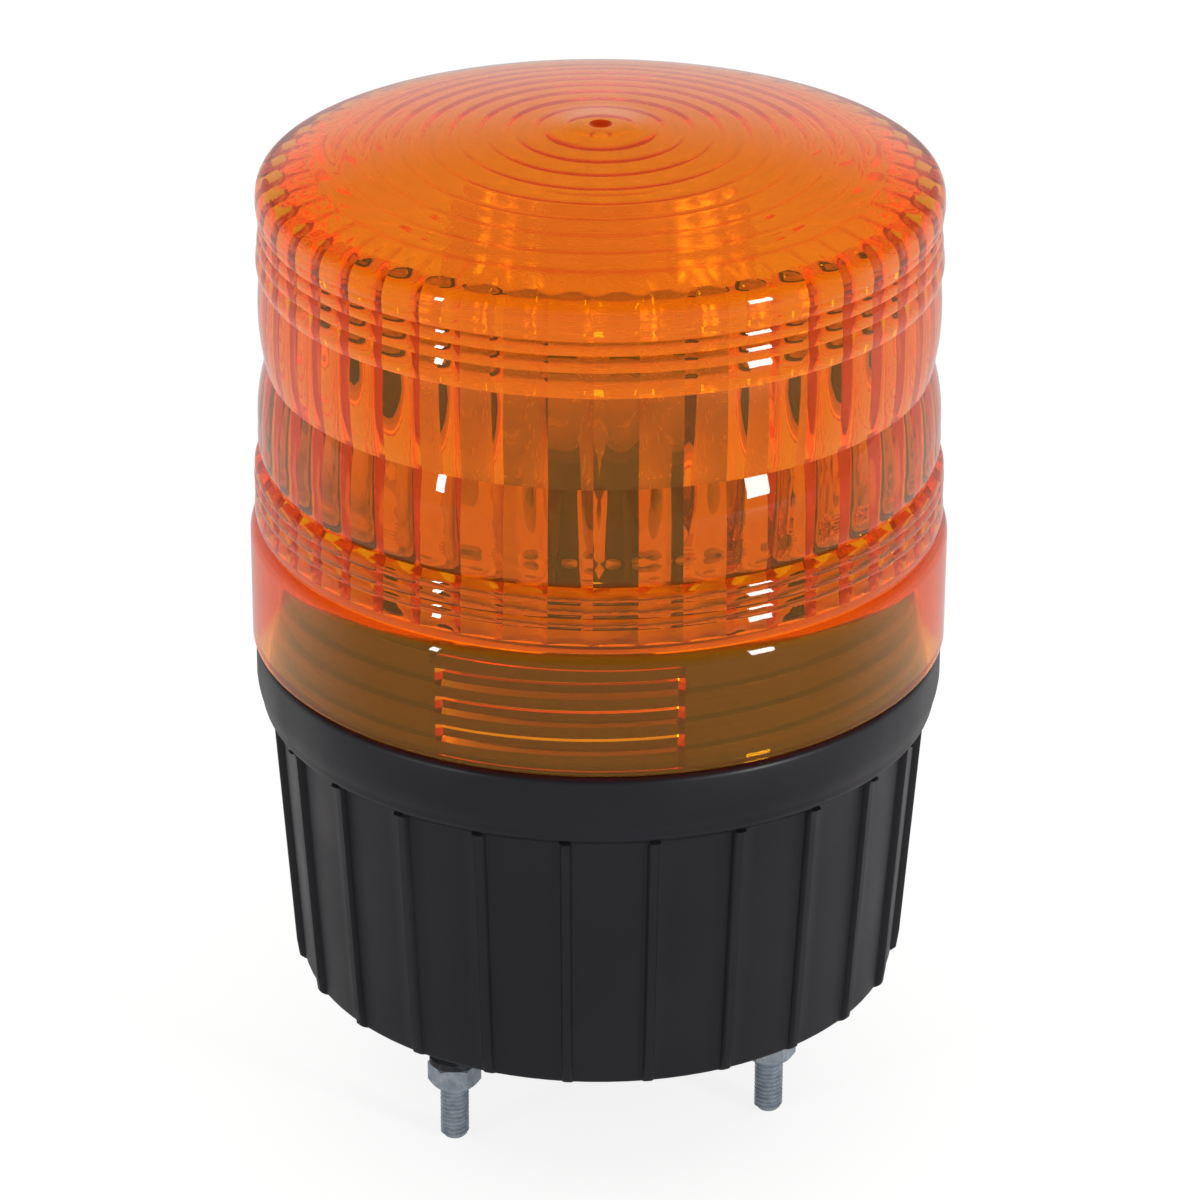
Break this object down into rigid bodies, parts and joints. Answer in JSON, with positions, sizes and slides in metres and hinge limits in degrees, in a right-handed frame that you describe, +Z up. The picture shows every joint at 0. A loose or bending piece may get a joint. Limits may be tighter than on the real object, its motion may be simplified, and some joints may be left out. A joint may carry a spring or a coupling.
{
  "type": "rotating beacon",
  "caption": "Amber rotating warning beacon: fluted screw-on globe over a motor-driven mirror and lamp, on a ribbed black stud-mounted base.",
  "frame": {"origin": "centre of the base's mounting face, on the axis of the cable inlet", "axes": "+Z up along the axis of the globe, -Y towards the front"},
  "size_m": [0.1172, 0.1172, 0.1787],
  "materials": {
    "amber_polycarbonate": "gloss",
    "black_abs": "satin",
    "zinc_plated_steel": "satin",
    "black_rubber": "matte",
    "white_polyethylene": "satin",
    "galvanised_sheet": "satin",
    "motor_steel": "satin",
    "black_nylon": "matte",
    "brass": "satin",
    "sintered_bronze": "matte",
    "spring_steel": "satin",
    "natural_acetal": "satin",
    "bright_aluminium": "gloss",
    "phenolic": "satin",
    "nickel_brass": "gloss",
    "lamp_glass": "gloss",
    "tungsten": "satin",
    "grey_polyamide": "satin"
  },
  "bodies": {
    "base": {"base_housing": "black_abs", "base_floor": "black_abs", "cable_grommet": "black_rubber", "collar_gasket": "black_rubber", "stud_a": "zinc_plated_steel", "stud_nut_a": "zinc_plated_steel", "lock_washer_a": "spring_steel", "floor_screw_a": "zinc_plated_steel", "chassis_screw_a": "zinc_plated_steel", "terminal_screw_a": "zinc_plated_steel", "stud_b": "zinc_plated_steel", "stud_nut_b": "zinc_plated_steel", "lock_washer_b": "spring_steel", "floor_screw_b": "zinc_plated_steel", "chassis_screw_b": "zinc_plated_steel", "terminal_screw_b": "zinc_plated_steel", "stud_c": "zinc_plated_steel", "stud_nut_c": "zinc_plated_steel", "lock_washer_c": "spring_steel", "floor_screw_c": "zinc_plated_steel", "chassis_screw_c": "zinc_plated_steel", "terminal_screw_c": "zinc_plated_steel", "terminal_block": "grey_polyamide", "chassis_plate": "galvanised_sheet", "motor_case": "motor_steel", "motor_cap": "black_nylon", "motor_screw_a": "zinc_plated_steel", "motor_screw_b": "zinc_plated_steel", "bearing_post": "brass", "post_nut": "zinc_plated_steel", "thrust_washer": "black_nylon", "retaining_ring": "spring_steel", "socket_insulator": "phenolic", "socket_shell": "brass", "socket_contact": "brass", "bulb_cap": "nickel_brass", "bulb_glass": "lamp_glass", "bulb_filament": "tungsten"},
    "slip": {"slip_ring": "white_polyethylene"},
    "globe": {"globe": "amber_polycarbonate"},
    "rotor": {"rotor_wheel": "natural_acetal", "rotor_bush": "sintered_bronze", "reflector": "bright_aluminium", "reflector_stand": "black_nylon", "stand_screw_a": "zinc_plated_steel", "stand_screw_b": "zinc_plated_steel"},
    "pinion": {"motor_shaft": "motor_steel", "pinion": "brass"}
  },
  "joints": [
    {"name": "globe_lift", "type": "slide", "parent": "base", "child": "slip", "axis": [0, 0, 1], "range_m": [0, 0.01667]},
    {"name": "globe_turn", "type": "hinge", "parent": "slip", "child": "globe", "pos_m": [0, 0, 0.07], "axis": [0, 0, 1], "range_deg": [0, 1200]},
    {"name": "rotor_spin", "type": "hinge", "parent": "base", "child": "rotor", "pos_m": [0, 0, 0.08], "axis": [0, 0, 1], "continuous": true},
    {"name": "pinion_spin", "type": "hinge", "parent": "base", "child": "pinion", "pos_m": [0.035, 0, 0.08], "axis": [0, 0, 1], "continuous": true}
  ],
  "couplings": [
    {"joint": "globe_lift", "follows": "globe_turn", "m_per_rad": 0.00079577},
    {"joint": "pinion_spin", "follows": "rotor_spin", "ratio": -4}
  ]
}
